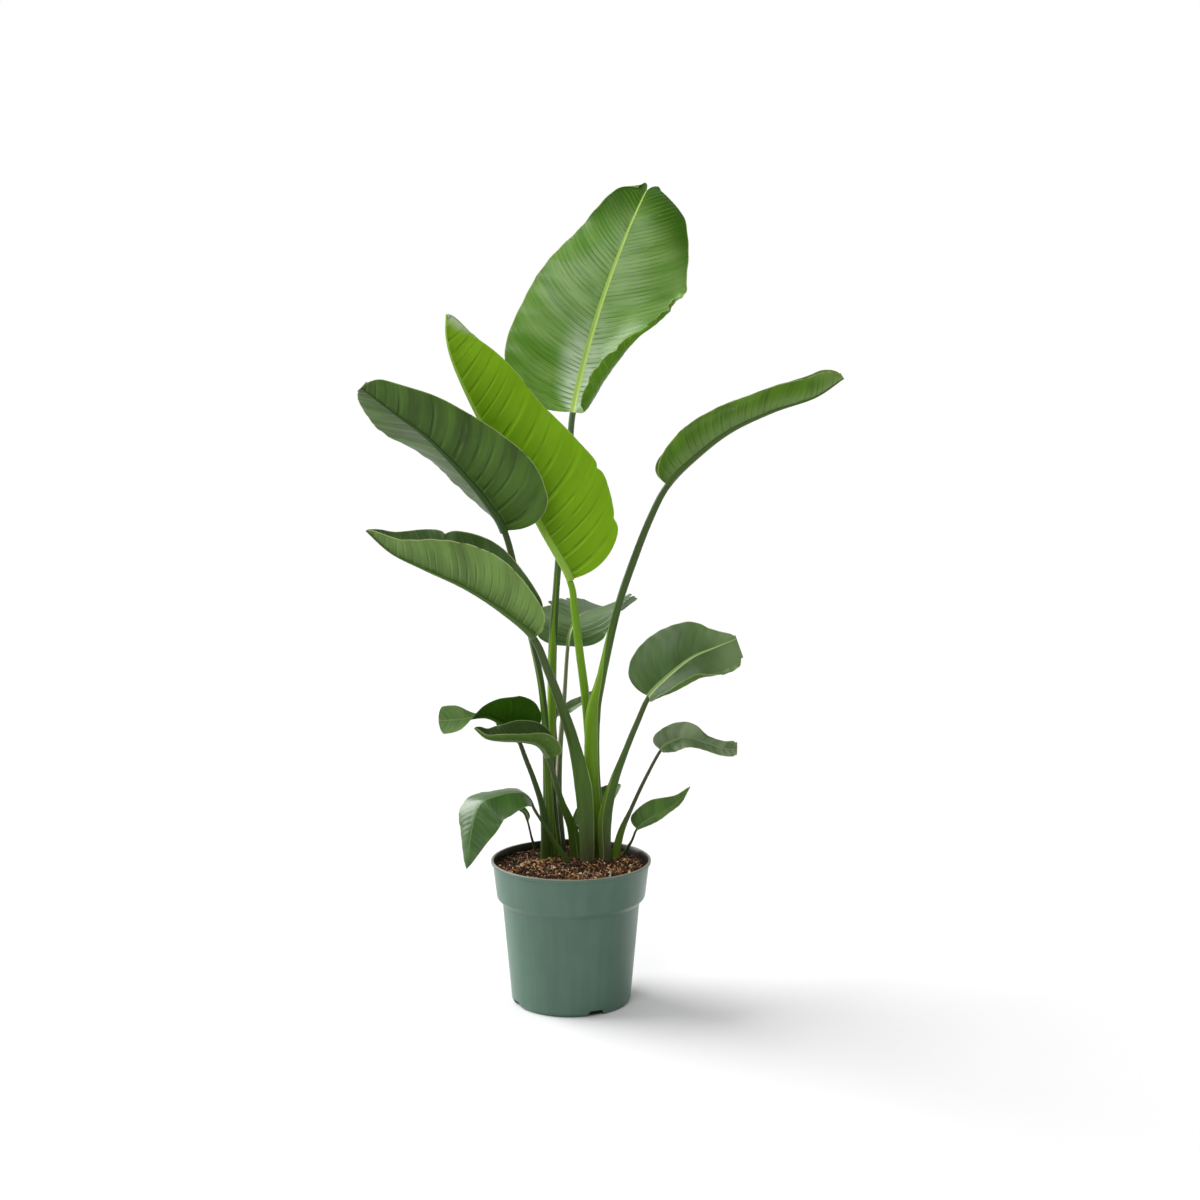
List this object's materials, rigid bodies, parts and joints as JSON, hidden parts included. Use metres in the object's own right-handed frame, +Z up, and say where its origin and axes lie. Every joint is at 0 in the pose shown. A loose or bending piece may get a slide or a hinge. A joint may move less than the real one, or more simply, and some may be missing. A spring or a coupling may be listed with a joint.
{
  "type": "potted bird of paradise",
  "caption": "Potted bird of paradise: broad paddle-shaped leaves on long stalks rise as one clump from the soil of a round green grow pot with a stepped collar.",
  "frame": {"origin": "centre of the pot's flat underside, on the surface that it stands on", "axes": "+Z up along the pot's axis, +X to the right and +Y away from the viewer in the picture's front view"},
  "size_m": [0.7427, 0.4122, 1.2952],
  "materials": {
    "pot": "satin moulded plastic, grey green",
    "soil": "rough bark and coir mix with white grains",
    "leaf": "semi-gloss leaf, deep green with a grey sheen",
    "young_leaf": "semi-gloss young leaf, bright yellow green",
    "pale_leaf": "satin leaf, pale grey green",
    "stalk": "smooth semi-gloss stalk, mid green",
    "bright_stalk": "smooth semi-gloss sheath, yellow green",
    "thin_stalk": "smooth thin stalk, grey brown"
  },
  "bodies": {
    "root": {"pot": "pot", "soil": "soil", "stalk_crown": "stalk", "blade_crown": "leaf", "stalk_young": "bright_stalk", "blade_young": "young_leaf", "stalk_left_high": "stalk", "blade_left_high": "leaf", "stalk_left_low": "bright_stalk", "blade_left_low": "leaf", "stalk_right_high": "bright_stalk", "blade_right_high": "leaf", "stalk_back": "thin_stalk", "blade_back": "leaf", "stalk_right_mid": "bright_stalk", "blade_right_mid": "leaf", "stalk_right_low": "thin_stalk", "blade_right_low": "leaf", "stalk_right_small": "thin_stalk", "blade_right_small": "leaf", "stalk_left_twisted": "stalk", "blade_left_twisted": "leaf", "stalk_left_folded": "stalk", "blade_left_folded": "leaf", "stalk_left_hanging": "thin_stalk", "blade_left_hanging": "leaf", "stalk_left_tiny": "thin_stalk", "blade_left_tiny": "leaf", "stalk_back_small": "stalk", "blade_back_small": "pale_leaf", "stalk_back_sprout": "stalk", "blade_back_sprout": "leaf"}
  },
  "joints": []
}
